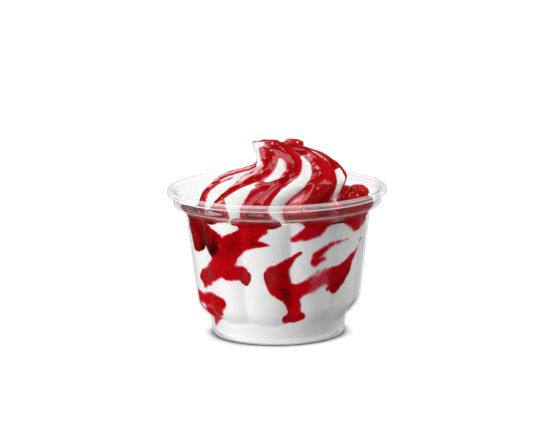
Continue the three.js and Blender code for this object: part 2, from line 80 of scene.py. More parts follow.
def soft_max(first, second, width):
    """The larger of two values, with the corner between them rounded over a width."""
    near = np.maximum(0, width - np.abs(first - second)) / width
    return np.maximum(first, second) + near * near * width / 4


def polar(angle, radius, height):
    angle, radius, height = np.broadcast_arrays(angle, radius, height)
    turn = np.radians(angle)
    return np.stack([radius * np.sin(turn), -radius * np.cos(turn), height], -1).astype(float)


def angle_of(points):
    return np.degrees(np.arctan2(points[:, 0], -points[:, 1]))


def crease_at(angle):
    """0 on the crest of a lobe, 1 in the crease between two, which is a little rounded."""
    turn = (angle - FIRST_CREASE) * LOBES / 360
    across = 2 * (turn - np.floor(turn)) - 1
    return 1 - np.sqrt((1 - np.abs(across)) ** 2 * (1 + np.abs(across)) ** 2 + CREASE_SOFTNESS ** 2)


def body_radius(angle, height):
    """Outside radius of the foot and of the lobed body."""
    foot = mix(FOOT_RADIUS, FOOT_TOP_RADIUS, np.clip(height / FOOT_TOP, 0, 1))
    drop = np.clip((SHOULDER_TOP - height) / (SHOULDER_TOP - FOOT_TOP), 0, 1.15)
    shoulder = mix(SHOULDER_RADIUS, FOOT_TOP_RADIUS, drop * drop)
    body = mix(SHOULDER_RADIUS, BODY_TOP_RADIUS, (height - SHOULDER_TOP) / (BODY_TOP - SHOULDER_TOP))
    crest = np.where(height < SHOULDER_TOP, shoulder, body)
    return soft_max(foot, crest - CREASE_DEPTH * crease_at(angle), FOOT_EDGE_SOFTNESS)


def inner_radius(angle, height):
    """Inside radius of the cup, up to the bend under the band."""
    shift = INNER_FOOT_DROP * smoothstep(SHOULDER_TOP + 2, FOOT_TOP + 1, height)
    straight = body_radius(angle, np.minimum(height, BODY_TOP) - shift) - WALL
    bend = mix(BODY_TOP_RADIUS - WALL, INNER_BEND_RADIUS, smoothstep(BODY_TOP - 1, INNER_BEND_TOP, height))
    return mix(straight, bend, smoothstep(BODY_TOP - 1, BEND_TOP, height))


def rounded(points, rounds):
    """Cuts the corners of a row of points, which keeps its two ends."""
    for _ in range(rounds):
        cut = [points[0]]
        for a, b in zip(points, points[1:]):
            cut += [tuple(mix(p, q, 0.25) for p, q in zip(a, b)),
                    tuple(mix(p, q, 0.75) for p, q in zip(a, b))]
        points = cut + [points[-1]]
    return points


def spun(rows, steps, closed=True):
    """Spins a chain of points round the vertical. Each point's height is its row number.
    A closed form begins and ends on the axis; an open one is a tube."""
    bm = bmesh.new()
    ends = (0, rows - 1) if closed else ()
    chain = [bm.verts.new((0 if row in ends else 1, 0, row)) for row in range(rows)]
    edges = [bm.edges.new(pair) for pair in zip(chain, chain[1:])]
    bmesh.ops.spin(bm, geom=chain + edges, cent=(0, 0, 0), axis=(0, 0, 1), angle=2 * math.pi,
                   steps=steps, use_merge=True, use_duplicate=False)
    if closed:
        bmesh.ops.remove_doubles(bm, verts=bm.verts, dist=1e-4)
    return bm


def corners(bm):
    return np.array([v.co[:] for v in bm.verts])


def place(bm, points):
    for vert, point in zip(bm.verts, points):
        vert.co = point


def new_object(name, data):
    made = bpy.data.objects.new(name, data)
    bpy.context.scene.collection.objects.link(made)
    return made


def mesh_object(bm, name, material):
    mesh = bpy.data.meshes.new(name)
    bm.to_mesh(mesh)
    bm.free()
    mesh.materials.append(material)
    return new_object(name, mesh)


def finished(bm, name, material, slot, *nodes):
    """Writes a bmesh out as a smooth piece that stands for CAD nodes."""
    bmesh.ops.scale(bm, verts=bm.verts, vec=(MM, MM, MM))
    bmesh.ops.recalc_face_normals(bm, faces=bm.faces)
    for face in bm.faces:
        face.smooth = True
    piece = mesh_object(bm, name, material)
    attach(piece, "root")
    if nodes:
        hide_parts(*nodes)
    return piece


def give_value(piece, name, values):
    """Stores a number on each vertex for the piece's material to read."""
    attribute = piece.data.attributes.new(name, "FLOAT", "POINT")
    attribute.data.foreach_set("value", np.ascontiguousarray(values, dtype=np.float32))


def new_material(name):
    material = bpy.data.materials.new(name)
    material.use_nodes = True
    tree = material.node_tree
    return material, tree, tree.nodes["Principled BSDF"]


def fill(tree, made, inputs):
    """Fills a node's inputs with values or links."""
    for key, value in inputs.items():
        if isinstance(value, bpy.types.NodeSocket):
            tree.links.new(value, made.inputs[key])
        else:
            made.inputs[key].default_value = value


def node(tree, kind, inputs=None, **settings):
    made = tree.nodes.new(kind)
    for key, value in settings.items():
        setattr(made, key, value)
    fill(tree, made, inputs or {})
    return made


def object_position(tree):
    return node(tree, "ShaderNodeTexCoord").outputs["Object"]


def stored_value(tree, name):
    return node(tree, "ShaderNodeAttribute", attribute_name=name).outputs["Fac"]


def noise_texture(tree, where, scale, detail, **more):
    inputs = {"Vector": where, "Scale": scale, "Detail": detail, **more}
    return node(tree, "ShaderNodeTexNoise", inputs).outputs["Fac"]


def bump(tree, height, strength, distance):
    inputs = {"Height": height, "Strength": strength, "Distance": distance}
    return node(tree, "ShaderNodeBump", inputs).outputs["Normal"]


def map_range(tree, value, to_min, to_max, from_min=0.0, from_max=1.0):
    inputs = {"Value": value, "From Min": from_min, "From Max": from_max, "To Min": to_min, "To Max": to_max}
    return node(tree, "ShaderNodeMapRange", inputs).outputs["Result"]


def colour_ramp(tree, share, stops):
    """A colour that follows a share from 0 to 1 through stops of (position, colour)."""
    ramp = node(tree, "ShaderNodeValToRGB", {"Fac": share})
    elements = ramp.color_ramp.elements
    while len(elements) < len(stops):
        elements.new(0.5)
    for element, (position, colour) in zip(elements, stops):
        element.position = position
        element.color = (*colour, 1)
    return ramp.outputs["Color"]


def arithmetic(tree, operation, first, second):
    return node(tree, "ShaderNodeMath", {0: first, 1: second}, operation=operation).outputs[0]


# Thin clear sheet: what is behind it shows straight through. It mirrors more and looks milkier where
# it is seen edge-on, and its milky layer glows a little by itself, a painted glow. Its thicker drawn
# lip is hazy; the bright lines along its bends and the white round its base are painted into that glow.
plastic, tree, shader = new_material("clear_plastic")
# The milky layer glows a little by itself: a painted glow.
fill(tree, shader, {"Base Color": (0.92, 0.915, 0.92, 1), "Roughness": 0.2,
                    "Emission Color": (1.0, 0.95, 0.98, 1), "Emission Strength": 0.3})
where = object_position(tree)
waves = bump(tree, noise_texture(tree, where, 60.0, 1.0), 0.03, 0.001)
edge_on = node(tree, "ShaderNodeLayerWeight", {"Blend": 0.5, "Normal": waves}).outputs["Facing"]
drawn = map_range(tree, noise_texture(tree, where, 40.0, 2.0), 0.8, 1.2)
milky_glow = arithmetic(tree, "MULTIPLY", arithmetic(tree, "POWER", edge_on, 9.0), 0.25)
milky_glow = arithmetic(tree, "ADD", milky_glow, arithmetic(tree, "MULTIPLY", stored_value(tree, "haze_and_glow"), drawn))
clear = node(tree, "ShaderNodeBsdfTransparent", {"Color": (0.953, 0.951, 0.958, 1)})
film = node(tree, "ShaderNodeMixShader", {0: milky_glow, 1: clear.outputs[0], 2: shader.outputs[0]})
mirror = node(tree, "ShaderNodeBsdfPrincipled", {"Base Color": (1, 1, 1, 1), "Metallic": 1.0,
                                                 "Roughness": 0.04, "Normal": waves})
shine = arithmetic(tree, "MULTIPLY", arithmetic(tree, "POWER", edge_on, 6.0), 0.5)
shine = arithmetic(tree, "ADD", shine, 0.002)
sheet = node(tree, "ShaderNodeMixShader", {0: shine, 1: film.outputs[0], 2: mirror.outputs[0]})
tree.links.new(sheet.outputs[0], tree.nodes["Material Output"].inputs["Surface"])

# Rows of the cup's section, from the middle of the base outside, over the lip, to the middle of
# the floor inside: radius, height, share of lobed body (-1 on the inside of it).
base = rounded([(25.0, 0), (28.0, 0), (FOOT_RADIUS, 1.2)], 2)
rows = [(0, FLOOR_RECESS, 0), (12, FLOOR_RECESS, 0), (23, FLOOR_RECESS, 0)]
rows += [(r, z, 0) for r, z in rounded([(23.5, FLOOR_RECESS), (24.2, 0.8), (25.0, 0), (25.6, 0)], 1)]
rows += [(r, z, 0) for r, z in base[2:]]
rows += [(0, z, 1) for z in np.linspace(2, SHOULDER_TOP + 1, 42)]
rows += [(0, z, 1) for z in np.linspace(21, BODY_TOP - 1.5, 12)]
bend = rounded([(BODY_TOP_RADIUS - 0.12, BODY_TOP - 1), (41.0, 55.2), (42.6, BEND_TOP),
                (BAND_RADIUS, BAND_BOTTOM)], 2)
lip = rounded([(BAND_RADIUS, BAND_BOTTOM), (45.5, 62.4), (46.6, 61.9), (47.4, 61.9), (RIM_RADIUS, 62.5),
               (RIM_RADIUS, 63.9), (47.3, RIM_TOP), (45.9, RIM_TOP), (44.8, 64.1), (44.4, 58.2),
               (INNER_BEND_RADIUS, INNER_BEND_TOP)], 3)
rows += [(r, z, 1 - smoothstep(BODY_TOP - 1, BEND_TOP, z)) for r, z in bend[:-1] + lip[1:-1]]
rows += [(0, z, -1) for z in np.linspace(57.0, BODY_TOP - 1, 8)]
rows += [(0, z, -1) for z in np.linspace(50, 20, 10)]
rows += [(0, z, -1) for z in np.linspace(18.6, 4, 32)]
rows += [(FOOT_RADIUS - WALL, INNER_FLOOR + 0.6, 0), (FOOT_RADIUS - WALL - 0.6, INNER_FLOOR, 0)]
rows += [(14, INNER_FLOOR, 0), (0, INNER_FLOOR, 0)]

bm = spun(len(rows), CUP_STEPS)
at = corners(bm)
angle = angle_of(at)
radius, height, lobed = np.array(rows)[np.rint(at[:, 2]).astype(int)].T
outside = mix(radius, body_radius(angle, np.minimum(height, BODY_TOP)), np.maximum(lobed, 0))
place(bm, polar(angle, np.where(lobed < 0, inner_radius(angle, height), outside), height))
cup = finished(bm, "clear_cup", plastic, "clear_plastic", "cup")
cup.visible_shadow = False    # sheet this thin takes hardly any light from what is behind it
# Real haze plus painted glow: white round the base and bright lines along the bends.
haze_and_glow = sum(strength * smoothstep(start, full, height) for start, full, strength in HAZE_AND_GLOW_STEPS)
for line_radius, line_height, strength in PAINTED_BRIGHT_LINES:
    off_line = (radius - line_radius) ** 2 + (height - line_height) ** 2
    haze_and_glow += strength * np.exp(-off_line / LINE_WIDTH ** 2)
give_value(cup, "haze_and_glow", np.minimum(haze_and_glow, MOST_HAZE_AND_GLOW))

# ------------------------------------------------------------------ ice cream
# White soft serve, piped from a star nozzle: it fills the cup and touches its wall, meets it in
# a ledge under the band, and rises as one swirl of ten ribs whose tail leans to the left.
LEDGE_HEIGHT = 53.7
INTO_WALL = 0.1
RIDGES, RIDGE_START, RIDGE_TWIST, TWIST_START, TWIST_RISE, TWIST_POWER = 10, -8, 46, 57, 29, 1.6
RIDGE_DEPTH, RIDGE_RUN_IN, VALLEY_SHAPE = 0.115, 2.6, 0.85
SWIRL_LEVELS = np.array([    # height, left edge, right edge, half depth
    [53.7, -36.6, 36.0, 36.2],
    [56.6, -34.4, 30.4, 32.8],
    [60.2, -32.4, 27.6, 30.6],
    [65.0, -28.8, 29.4, 29.2],
    [68.4, -24.2, 30.5, 26.8],
    [70.4, -18.4, 29.6, 24.0],
    [72.4, -11.8, 27.9, 20.4],
    [75.0, -8.6, 24.8, 16.4],
    [78.0, -9.0, 20.6, 12.2],
    [80.8, -9.7, 13.4, 8.0],
    [83.0, -10.6, 5.0, 4.2],
    [84.4, -10.6, 1.0, 1.3],
])
TOP_LEVEL = len(SWIRL_LEVELS)
TIP = (-4.4, 84.7)
TAIL_START, TAIL_RISE, TAIL_PINCH = 74, 8, 0.6
LEDGE_BUMPS = [(9, 8.5, 2.2), (-34, 9, 1.2)]    # angle, half width, height above the ledge
NOZZLE_LINES = [(61, 0, 0.5), (97, 2, 0.35), (151, 1, 0.2)]    # how close, shift, share of height
NOZZLE_LINE_HEIGHT, LARGE_LUMPS, SMALL_LUMPS = 0.05, 0.22, 0.1
SWIRL_STEPS = 360


def ledge_height(angle):
    """The ledge's height, with the lumps where a bare rib meets the wall."""
    lumps = sum(lump * np.exp(-((angle - middle) / wide) ** 4) for middle, wide, lump in LEDGE_BUMPS)
    return LEDGE_HEIGHT + lumps


def level_values(level):
    """Height, left, right and half depth of the swirl at a level, smoothly between its rows."""
    last = TOP_LEVEL - 1
    k = np.maximum(0, level - 1)
    i = np.minimum(last - 1, np.floor(k).astype(int))
    t = (k - i)[..., None]
    a, b, c, d = (SWIRL_LEVELS[np.clip(i + step, 0, last)] for step in (-1, 0, 1, 2))
    curve = b + 0.5 * t * (c - a + t * (2 * a - 5 * b + 4 * c - d + t * (3 * (b - c) + d - a)))
    return np.moveaxis(curve, -1, 0)


def twist_at(height):
    rise = np.clip((height - TWIST_START) / TWIST_RISE, 0, 1)
    return RIDGE_START + RIDGE_TWIST * rise ** TWIST_POWER


def smooth_swirl(angle, level):
    """The swirl without its ribs. Level 0 is the ledge's edge in the wall."""
    height, left, right, depth = level_values(level)
    side, front = np.sin(np.radians(angle)), np.cos(np.radians(angle))
    tail = smoothstep(TAIL_START, TAIL_START + TAIL_RISE, height)
    pinch = 1 - TAIL_PINCH * tail * np.maximum(0, -side) ** 2
    swirl = np.stack([(left + right) / 2 + (right - left) / 2 * side, -depth * front * pinch, height], -1)
    edge_height = ledge_height(angle)
    swirl[..., 2] = np.maximum(swirl[..., 2], mix(edge_height, height, smoothstep(1.0, 2.2, level)))
    edge = polar(angle, inner_radius(angle, edge_height) + INTO_WALL, edge_height)
    return np.where((level < 1)[..., None], mix(edge, swirl, np.clip(level, 0, 1)[..., None]), swirl)


def swirl_normal(angle, level):
    around = smooth_swirl(angle + 1, level) - smooth_swirl(angle - 1, level)
    up = smooth_swirl(angle, np.minimum(TOP_LEVEL, level + 0.25))
    across = np.cross(around, up - smooth_swirl(angle, np.maximum(0, level - 0.25)))
    return across / np.maximum(1e-9, np.linalg.norm(across, axis=-1, keepdims=True))


def groove_depth(angle, level):
    height, left, right, depth = level_values(level)
    radius = (right - left) / 4 + depth / 2
    phase = np.radians(angle - twist_at(height)) * RIDGES / 2
    valley = 1 - np.abs(np.cos(phase)) ** VALLEY_SHAPE
    return RIDGE_DEPTH * radius * smoothstep(0, RIDGE_RUN_IN, level) * valley


def field_noise(points, size, shift=0.0):
    """Smooth noise from -1 to 1 at points, in lumps of about size millimetres."""
    return np.array([noise.noise(Vector(p) / size + Vector((shift, shift, shift))) for p in points])


def swirl_surface(angle, level, fine=1.0):
    """The bare ice cream: ribs, the fine lines of the nozzle along them, and soft lumps."""
    normal = swirl_normal(angle, level)
    points = smooth_swirl(angle, level) - normal * groove_depth(angle, level)[..., None]
    rib = (angle - twist_at(level_values(level)[0])) * RIDGES / 360
    lines = sum(np.sin(rib * close + shift) * share for close, shift, share in NOZZLE_LINES)
    relief = NOZZLE_LINE_HEIGHT * lines + SMALL_LUMPS * field_noise(points, 2.6, 9.0)
    relief = LARGE_LUMPS * field_noise(points, 7.0) + fine * relief
    relief *= smoothstep(0.6, 2.4, level) * (1 - 0.6 * smoothstep(10.5, TOP_LEVEL, level))
    return points + normal * relief[..., None], normal


ice_cream_white, tree, shader = new_material("soft_serve")
where = object_position(tree)
white = colour_ramp(tree, noise_texture(tree, where, 55.0, 4.0),
                    [(0.3, (0.86, 0.855, 0.84)), (0.7, (0.92, 0.918, 0.905))])
grain = bump(tree, noise_texture(tree, where, 900.0, 3.0), 0.12, 0.0003)
fill(tree, shader, {"Base Color": white, "Roughness": 0.42, "Specular IOR Level": 0.35,
                    "Subsurface Weight": 0.35, "Subsurface Radius": (1.0, 0.85, 0.7),
                    "Subsurface Scale": 0.0025, "Normal": grain})

wall_heights = np.concatenate([
    [INNER_FLOOR - INTO_WALL, INNER_FLOOR - INTO_WALL, INNER_FLOOR + 0.5],
    np.linspace(4, 19, 34), np.linspace(21, 49, 15), np.linspace(50.5, LEDGE_HEIGHT, 5)[:-1]])
levels = np.concatenate([np.linspace(0, 1, 7)[:-1], np.linspace(1, TOP_LEVEL, 122)])
below = len(wall_heights) + 1
bm = spun(below + len(levels) + 1, SWIRL_STEPS)
at = corners(bm)
turn = angle_of(at)
row = np.rint(at[:, 2]).astype(int)
level = levels[np.clip(row - below, 0, len(levels) - 1)]
angle = turn + twist_at(level_values(level)[0])
on_swirl, _ = swirl_surface(angle, level)
height = wall_heights[np.clip(row - 1, 0, len(wall_heights) - 1)]
wall_angle = turn + RIDGE_START
raised = height + (ledge_height(wall_angle) - LEDGE_HEIGHT) * smoothstep(49, LEDGE_HEIGHT, height)
height = np.where(row < below, raised, height)
on_wall = polar(wall_angle, inner_radius(wall_angle, height) + INTO_WALL, height)
on_floor = polar(wall_angle, FOOT_RADIUS - WALL - 0.7, height)
on_wall = np.where((row == 1)[:, None], on_floor, on_wall)
points = np.where((row < below)[:, None], on_wall, on_swirl)
points[row == 0] = (0, 0, INNER_FLOOR - INTO_WALL)
points[row == below + len(levels)] = (TIP[0], 0, TIP[1])
place(bm, points)
finished(bm, "soft_serve", ice_cream_white, "ice_cream", "ice_cream")

# ------------------------------------------------------------------ sauce over the swirl
# Thick berry sauce, poured over the tip. It runs down the valleys between the ribs in streams
# with rounded edges, leaves their crests bare, and pools on the ledge inside the band.
SAUCE_THICKNESS, SAUCE_SLOPE, VALLEY_FILL, SAUCE_ROOT = 0.95, 2.6, 0.75, 0.35
ROLLED_EDGE, LARGE_WOBBLE, SMALL_WOBBLE = 0.8, 0.16, 0.03
FINE_UNDER_SAUCE = 0.12      # how much of the ice cream's fine relief shows in the sauce
SAUCE_STAND_OFF = 0.05       # how far its side lies outside the ice cream at the wall
LEVEL_STEP, NARROWEST_SWIRL = 3.2, 6    # millimetres from level to level; least radius for strokes
BARE_STRIPES = [             # strokes of rib, level, half width in millimetres
    [(0.47, 0, 4.6), (0.42, 1, 2.9), (0.36, 2.5, 2.6), (0.26, 3.4, 3.2), (0.11, 5.3, 4.2)],
    [(0.11, 5.3, 4.2), (0.06, 6.4, 3.4), (0.08, 7.4, 2.6), (0.14, 8.3, 2.0), (0.27, 8.95, 1.8)],
    [(-1.3, 5.9, 0.5), (-1.14, 5.2, 2.4), (-1.08, 4.6, 4.0)],
    [(-1.25, 4.2, 2.2), (-0.99, 4.2, 3.0), (-0.77, 3.2, 2.2), (-0.66, 2.0, 1.7), (-0.72, 0.6, 2.6),
     (-0.75, 0, 4.0)],
    [(-0.92, 9.1, 0.9), (-0.94, 8.8, 1.8), (-1.02, 8.2, 2.4), (-1.12, 7.6, 2.6), (-1.03, 7.1, 2.4),
     (-0.9, 6.7, 1.8)],
    [(-2.1, 8.45, 0.7), (-2.56, 7.8, 1.5), (-2.62, 6.9, 1.9), (-2.52, 6.2, 2.5), (-2.18, 5.3, 3.8)],
    [(-2.18, 5.3, 3.8), (-1.9, 4.5, 3.9), (-1.72, 3.5, 2.9), (-1.64, 2.5, 2.3)],
    [(-2.72, 4.9, 0.5), (-2.74, 5.5, 0.9), (-2.76, 6.2, 0.9), (-2.8, 6.7, 0.4)],
    [(-2.8, 8.4, 2.0), (-2.8, 9.3, 4.1), (-2.8, 10.3, 4.3), (-2.8, 11.2, 4.2), (-2.4, 12.2, 5.6)],
    [(1.62, 7.0, 0.8), (1.76, 6.4, 3.0), (1.9, 5.6, 5.4), (2.05, 4.8, 5.8), (2.2, 4.0, 5.0),
     (2.2, 3.2, 3.0)],
    [(1.9, 9.8, 0.6), (1.62, 9.3, 1.3), (1.52, 8.8, 1.3), (1.5, 8.3, 0.4)],
    [(1.5, 11.4, 1.1), (2.05, 11.1, 1.6), (1.8, 10.8, 1.5), (1.5, 10.4, 1.0)],
    [(3.1, 1.6, 2.2), (3.0, 4.4, 1.8), (3.05, 6.9, 0.7)],
    [(4, 1.8, 2.2), (4.0, 4.6, 2.4), (3.9, 6.7, 0.8)],
    [(5, 2.9, 3.0), (5, 4.8, 1.2)],
    [(4.9, 6.4, 1.4), (5, 8.5, 0.8)],
    [(-4, 1.4, 2.4), (-4.0, 4.8, 2.2), (-3.9, 7.1, 0.8)],
    [(-4.6, 1.3, 0.8), (-3.9, 0.6, 3.4), (-2.8, 0.4, 3.4), (-2.25, 1.2, 0.8)],
]
PINK_STROKES = [             # where the sauce is so thin that the ice cream shows through
    [(-2.1, 11.6, 1.2), (-1.85, 10.6, 1.4), (-1.95, 9.7, 1.2), (-2.3, 8.8, 0.6)],
    [(-4.4, 12.4, 3.0), (-2.8, 12.6, 3.0), (-1.2, 12.2, 3.0)],
    [(-2.6, 4.2, 0.8), (-2.6, 5.0, 0.8), (-2.62, 5.6, 0.5)],
    [(-2.15, 3.3, 0.8), (-2.15, 2.4, 1.2)],
    [(-0.6, 4.7, 1.0), (-0.52, 3.6, 1.7), (-0.5, 2.6, 1.5)],
    [(-1.45, 7.0, 1.2), (-1.2, 6.3, 1.4)],
    [(0.5, 4.6, 1.4), (0.62, 3.6, 2.2), (0.66, 2.8, 2.4)],
    [(1.8, 3.6, 1.6), (1.95, 2.8, 2.6)],
    [(0.3, 9.8, 0.9), (0.6, 9.3, 0.9)],
    [(-0.4, 6.4, 0.8), (0.5, 7.6, 0.6)],
]
PINK_SOFTNESS, PINK_FILM = 2.0, 0.07
SAUCE_LUMPS = [              # x, y, z, radius, height of lumps of fruit under the sauce
    (-2.6, -6.4, 80.6, 2.0, 1.0), (2.0, -5.0, 82.6, 2.6, 0.8), (12.5, -3.0, 81.0, 3.0, 0.7),
    (27.5, -14.0, 66.0, 3.4, 0.5), (-6.0, -31.0, 61.0, 2.6, 0.8), (20.0, -25.0, 60.5, 3.2, 0.9),
    (-1.0, -22.5, 70.0, 3.0, 0.5), (-31.0, -3.0, 63.0, 4.5, 1.3), (-27.0, -3.0, 67.5, 4.0, 1.2),
    (27.0, -3.0, 73.5, 3.4, 1.0), (29.5, -2.0, 69.8, 3.0, 0.9),
]
POOL_HEIGHT, POOL_EDGE, POOL_SOFTNESS, MENISCUS = 57.3, 2.5, 1.2, 0.5
POOL_WALL_SHARE = 0.5        # below this level the sheet climbs the wall, above it crosses the pool
POOL_MOUNDS = [(31.5, 4.5, 4.2, 4.6), (27.5, 24.0, 5.0, 2.0)]    # x, y, radius, height
# The pool's side is partly deeper sauce and partly painted shade; the swirl's foot gets painted shade.
SIDE_FILM, POOL_SIDE_FILM_AND_SHADE, POOL_FOOT_SHADE, MOUND_FILM = 1.5, 2.5, 0.9, 0.9
SKIN_OFFSET = 1000           # keeps a slab's second skin apart until it is put in place


def stroke_field(x, y, start, end):
    """Distance from points to a tapered stroke, minus its half width there."""
    (x0, y0, w0), (x1, y1, w1) = start, end
    dx, dy = x1 - x0, y1 - y0
    t = np.clip(((x - x0) * dx + (y - y0) * dy) / (dx * dx + dy * dy), 0, 1)
    return mix(w0, w1, t) - np.hypot(x - x0 - dx * t, y - y0 - dy * t)


def along_ribs(strokes, angle, level):
    """Millimetres inside the nearest of strokes drawn by rib and level on the swirl."""
    height, left, right, _ = level_values(level)
    across = 2 * math.pi / RIDGES * np.maximum(NARROWEST_SWIRL, (right - left) / 2)
    rib = (angle - twist_at(height)) * RIDGES / 360
    inside = np.full(angle.shape, -99.0)
    for stroke in strokes:
        near = rib - RIDGES * np.rint((rib - stroke[0][0]) / RIDGES)
        for start, end in zip(stroke, stroke[1:]):
            ends = [(r * across, l * LEVEL_STEP, width) for r, l, width in (start, end)]
            inside = np.maximum(inside, stroke_field(near * across, level * LEVEL_STEP, *ends))
    return inside


def sauce_field(angle, level, points):
    """Above zero where sauce covers the swirl, in millimetres from the nearest bare stripe."""
    wander = 0.35 * field_noise(points, 4.0, 4.0) + 0.16 * field_noise(points, 1.5, 7.0)
    return wander - along_ribs(BARE_STRIPES, angle, level)


def trim(bm, field_at):
    """Cuts a sheet to where a field is above zero. The nearest vertices slide onto its edge."""
    bm.verts.index_update()
    at = corners(bm)
    field = field_at(at)
    verts = bm.verts[:]
    slides = {}
    for edge in bm.edges:
        a, b = (vert.index for vert in edge.verts)
        if (field[a] > 0) == (field[b] > 0):
            continue
        share = field[a] / (field[a] - field[b])
        mover, other, share = (a, b, share) if share < 0.5 else (b, a, 1 - share)
        if share < slides.get(mover, (1, 0))[0]:
            slides[mover] = (share, other)
    for mover, (share, other) in slides.items():
        verts[mover].co = mix(at[mover], at[other], share)
        field[mover] = 0
    for face in bm.faces[:]:
        out = [k for k, vert in enumerate(face.verts) if field[vert.index] < 0]
        if len(out) == 1 and len(face.verts) == 4:
            k = out[0]
            bmesh.utils.face_split(face, face.verts[k - 1], face.verts[(k + 1) % 4])
    lost = [face for face in bm.faces if any(field[vert.index] < 0 for vert in face.verts)]
    bmesh.ops.delete(bm, geom=lost, context="FACES")


def give_thickness(bm, offset):
    """Closes a sheet into a slab: a second skin, moved by offset, and walls between the two."""
    skin = bm.faces[:]
    twin = bmesh.ops.duplicate(bm, geom=skin)
    pairs = twin["vert_map"]
    rim = [edge for edge in twin["geom"] if isinstance(edge, bmesh.types.BMEdge) and edge.is_boundary]
    other = [face for face in twin["geom"] if isinstance(face, bmesh.types.BMFace)]
    bmesh.ops.translate(bm, verts=list({vert for face in other for vert in face.verts}), vec=offset)
    bmesh.ops.reverse_faces(bm, faces=other)
    back = {b: a for a, b in pairs.items() if isinstance(a, bmesh.types.BMVert)}
    for edge in rim:
        a, b = edge.verts
        loop = edge.link_loops[0]
        first, second = (a, b) if loop.vert == b else (b, a)
        bm.faces.new((first, second, back[second], back[first]))
        edge.smooth = False


def quarter_round(share):
    return np.sqrt(np.clip(1 - (1 - np.clip(share, 0, 1)) ** 2, 0, 1))


def berry_sauce(name, tones, roughness, specular, streaks):
    """Sauce whose colour deepens with the stored thickness in millimetres, which may carry painted shade;
    tones are (thickness, colour).
    """
    material, tree, shader = new_material(name)
    where = object_position(tree)
    pulp = noise_texture(tree, where, 260.0, 4.0, Roughness=0.6, Distortion=streaks)
    uneven = map_range(tree, pulp, 0.55, 1.4, 0.25, 0.75)
    depth = arithmetic(tree, "MULTIPLY", stored_value(tree, "film"), uneven)
    thickest = tones[-1][0]
    share = arithmetic(tree, "MULTIPLY", depth, 1 / thickest)
    colour = colour_ramp(tree, share, [(thickness / thickest, tone) for thickness, tone in tones])
    lumpy = bump(tree, noise_texture(tree, where, 420.0, 2.0), 0.05, 0.0006)
    fill(tree, shader, {"Base Color": colour, "Roughness": roughness, "Specular IOR Level": specular,
                        "Normal": lumpy})
    return material, tree, shader


glossy_sauce, tree, shader = berry_sauce("glossy_berry_sauce", [
    (0.0, (0.74, 0.24, 0.29)), (0.12, (0.66, 0.06, 0.10)), (0.35, (0.58, 0.002, 0.012)),
    (0.95, (0.52, 0.0, 0.004)), (1.6, (0.38, 0.0, 0.002)), (3.0, (0.12, 0.0, 0.0))], 0.07, 0.5, 0.4)
fill(tree, shader, {"Subsurface Weight": 0.25, "Subsurface Radius": (1.0, 0.05, 0.05),
                    "Subsurface Scale": 0.0015})

sauce_levels = np.concatenate([np.linspace(0, 1, 13)[:-1], np.linspace(1, 12.6, 118)])
SAUCE_STEPS = 300


def sauce_place(at):
    """Angle and level on the swirl of points on the sheet, whose height is still a row number."""
    level = np.interp(at[:, 2], np.arange(len(sauce_levels)), sauce_levels)
    return angle_of(at) + twist_at(level_values(level)[0]), level


def field_on_swirl(at):
    angle, level = sauce_place(at)
    return sauce_field(angle, level, smooth_swirl(angle, level))


bm = spun(len(sauce_levels), SAUCE_STEPS, closed=False)
trim(bm, field_on_swirl)
give_thickness(bm, (0, 0, SKIN_OFFSET))
at = corners(bm)
under = at[:, 2] > SKIN_OFFSET / 2
at[under, 2] -= SKIN_OFFSET
angle, level = sauce_place(at)
surface, normal = swirl_surface(angle, level, FINE_UNDER_SAUCE)
field = np.maximum(0, sauce_field(angle, level, smooth_swirl(angle, level)))
edge = 0.5 * quarter_round(field / ROLLED_EDGE) + 0.5 * smoothstep(0.2, SAUCE_SLOPE, field)
lumps = sum(rise * np.exp(-(np.linalg.norm(surface - np.array((x, y, z)), axis=1) / wide) ** 2)
            for x, y, z, wide, rise in SAUCE_LUMPS)
wobble = LARGE_WOBBLE * field_noise(surface, 5.0, 2.0) + SMALL_WOBBLE * field_noise(surface, 1.8, 5.0)
pink = smoothstep(-PINK_SOFTNESS, 0.4, along_ribs(PINK_STROKES, angle, level))
film = edge * (SAUCE_THICKNESS + wobble + VALLEY_FILL * groove_depth(angle, level) + lumps)
film = mix(film, np.minimum(film, PINK_FILM), pink)
outer = surface + normal * film[:, None]

# The pool: level on the ledge, with mounds over the fruit in it, and drawn up a little at the
# wall, which the outermost part of the sheet climbs.
mounds = sum(rise * np.exp(-((surface[:, 0] - x) ** 2 + (surface[:, 1] - y) ** 2) / wide ** 2)
             for x, y, wide, rise in POOL_MOUNDS)
pool = LEDGE_HEIGHT + (POOL_HEIGHT - LEDGE_HEIGHT) * quarter_round(field / POOL_EDGE) + mounds
meniscus = MENISCUS * np.exp(-6 * np.maximum(0, level - POOL_WALL_SHARE))
outer[:, 2] = soft_max(outer[:, 2], pool + meniscus, POOL_SOFTNESS)
climb = np.clip(level / POOL_WALL_SHARE, 0, 1)
wall_height = mix(ledge_height(angle), soft_max(pool, pool + MENISCUS, POOL_SOFTNESS), climb)
wall_height = np.maximum(ledge_height(angle), wall_height)
on_wall = polar(angle, inner_radius(angle, wall_height) + INTO_WALL + SAUCE_STAND_OFF, wall_height)
inward = np.clip((level - POOL_WALL_SHARE) / (1 - POOL_WALL_SHARE), 0, 1)
outer = np.where((level < 1)[:, None], mix(on_wall, outer, inward[:, None]), outer)
place(bm, np.where(under[:, None], surface - normal * SAUCE_ROOT, outer))
top_sauce = finished(bm, "poured_sauce", glossy_sauce, "sauce", "sauce_top")

